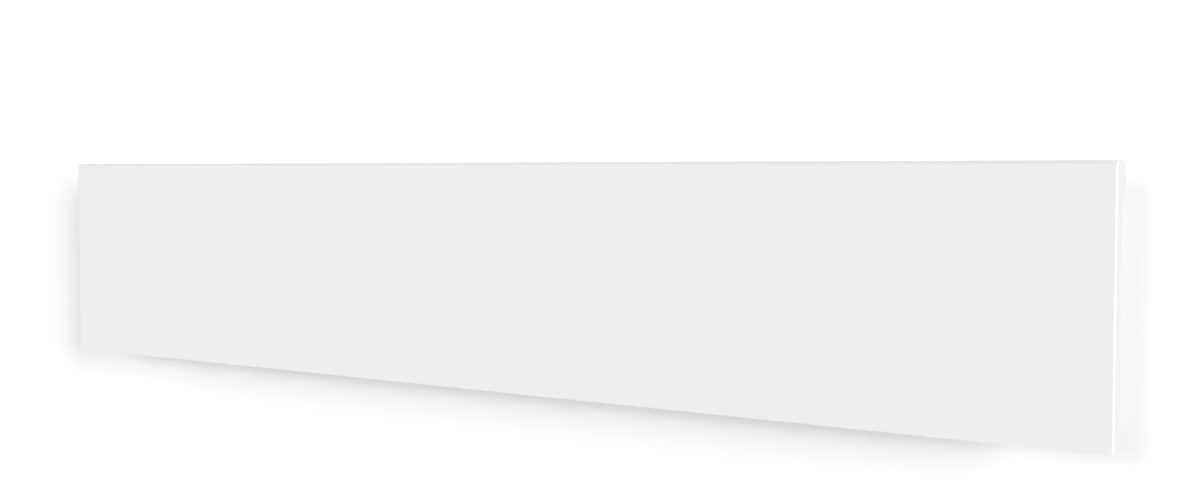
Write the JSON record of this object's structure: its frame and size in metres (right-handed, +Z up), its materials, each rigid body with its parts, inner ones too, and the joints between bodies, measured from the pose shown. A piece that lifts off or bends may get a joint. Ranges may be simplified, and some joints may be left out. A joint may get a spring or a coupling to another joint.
{
  "type": "wall convector heater",
  "caption": "Low wide wall convector heater with a plain flat floating front panel, top outlet grille, controls on its right end and a tilt-down wall bracket.",
  "frame": {"origin": "on the wall plane, at the centre of the bracket's four screw slots and at mid-height of the front panel", "axes": "+X to the right as seen from the room, +Y into the wall, +Z up; the front panel faces -Y"},
  "size_m": [1.14, 0.088, 0.2],
  "materials": {
    "front_enamel": "fine satin powder coat, off-white",
    "casing_enamel": "satin powder coat, off-white",
    "galvanised": "galvanised sheet",
    "spring_steel": "bright spring steel",
    "rod_steel": "stainless sheath, heat tinted",
    "screw_steel": "zinc plated",
    "element_aluminium": "extruded, mill finish",
    "shield_aluminium": "bright thin sheet",
    "brass": "bright terminals",
    "ceramic": "unglazed ceramic bush",
    "white_plastic": "fine textured moulding, off-white",
    "button_plastic": "satin moulding, pale grey",
    "black_plastic": "textured moulding, black",
    "rocker_plastic": "polished moulding, white",
    "window_plastic": "polished smoked window",
    "lens_plastic": "clear light guide",
    "board_laminate": "green solder mask",
    "component_black": "moulded component bodies",
    "radio_can": "tinned screening can",
    "rubber": "moulded rubber, dark grey",
    "gland_plastic": "nylon moulding, pale grey",
    "lead_brown": "heat-proof insulation, brown",
    "lead_blue": "heat-proof insulation, blue",
    "lead_grey": "heat-proof insulation, grey"
  },
  "bodies": {
    "bracket": {"wall_bracket": "galvanised", "top_clip_left": "spring_steel", "top_clip_right": "spring_steel"},
    "heater": {"front_panel": "front_enamel", "panel_hanger_left": "galvanised", "panel_hanger_centre": "galvanised", "panel_hanger_right": "galvanised", "panel_screws": "screw_steel", "rear_casing": "casing_enamel", "inner_front": "casing_enamel", "heat_shield": "shield_aluminium", "end_cap_left": "white_plastic", "end_cap_right": "white_plastic", "partition_wall": "galvanised", "outlet_grille": "casing_enamel", "inlet_grille": "galvanised", "element_fins": "element_aluminium", "heating_rod": "rod_steel", "rod_terminals": "brass", "element_support_left": "galvanised", "element_support_right": "galvanised", "element_bush_left": "ceramic", "element_bush_right": "ceramic", "thermal_cutout": "black_plastic", "grommets": "rubber", "control_housing": "white_plastic", "display_window": "window_plastic", "indicator_lens": "lens_plastic", "circuit_board": "board_laminate", "display_module": "component_black", "board_components": "component_black", "radio_module": "radio_can", "tact_switches": "component_black", "rocker_housing": "black_plastic", "rocker_terminals": "brass", "terminal_block": "gland_plastic", "cable_gland": "gland_plastic", "gland_nut": "gland_plastic", "earth_screw": "brass", "sensor_probe": "black_plastic", "sensor_clip": "white_plastic", "lead_supply": "lead_brown", "lead_switched": "lead_brown", "lead_element_right": "lead_brown", "lead_element_left": "lead_blue", "lead_sensor": "lead_grey", "wall_spacers": "rubber"},
    "minus_key": {"button_minus": "button_plastic"},
    "plus_key": {"button_plus": "button_plastic"},
    "ok_key": {"button_ok": "button_plastic"},
    "rocker_key": {"rocker": "rocker_plastic"}
  },
  "joints": [
    {"name": "heater_tilt", "type": "hinge", "parent": "bracket", "child": "heater", "pos_m": [0, -0.0145, -0.0696], "axis": [1, 0, 0], "range_deg": [0, 25]},
    {"name": "minus_press", "type": "slide", "parent": "heater", "child": "minus_key", "axis": [0, 0, -1], "range_m": [0, 0.0007], "stiffness_N_per_m": 2000, "springref_m": -0.0003},
    {"name": "plus_press", "type": "slide", "parent": "heater", "child": "plus_key", "axis": [0, 0, -1], "range_m": [0, 0.0007], "stiffness_N_per_m": 2000, "springref_m": -0.0003},
    {"name": "ok_press", "type": "slide", "parent": "heater", "child": "ok_key", "axis": [0, 0, -1], "range_m": [0, 0.0007], "stiffness_N_per_m": 2000, "springref_m": -0.0003},
    {"name": "rocker_toggle", "type": "hinge", "parent": "heater", "child": "rocker_key", "pos_m": [0.5305, -0.04, 0.01], "axis": [0, 1, 0], "range_deg": [0, 22]}
  ]
}
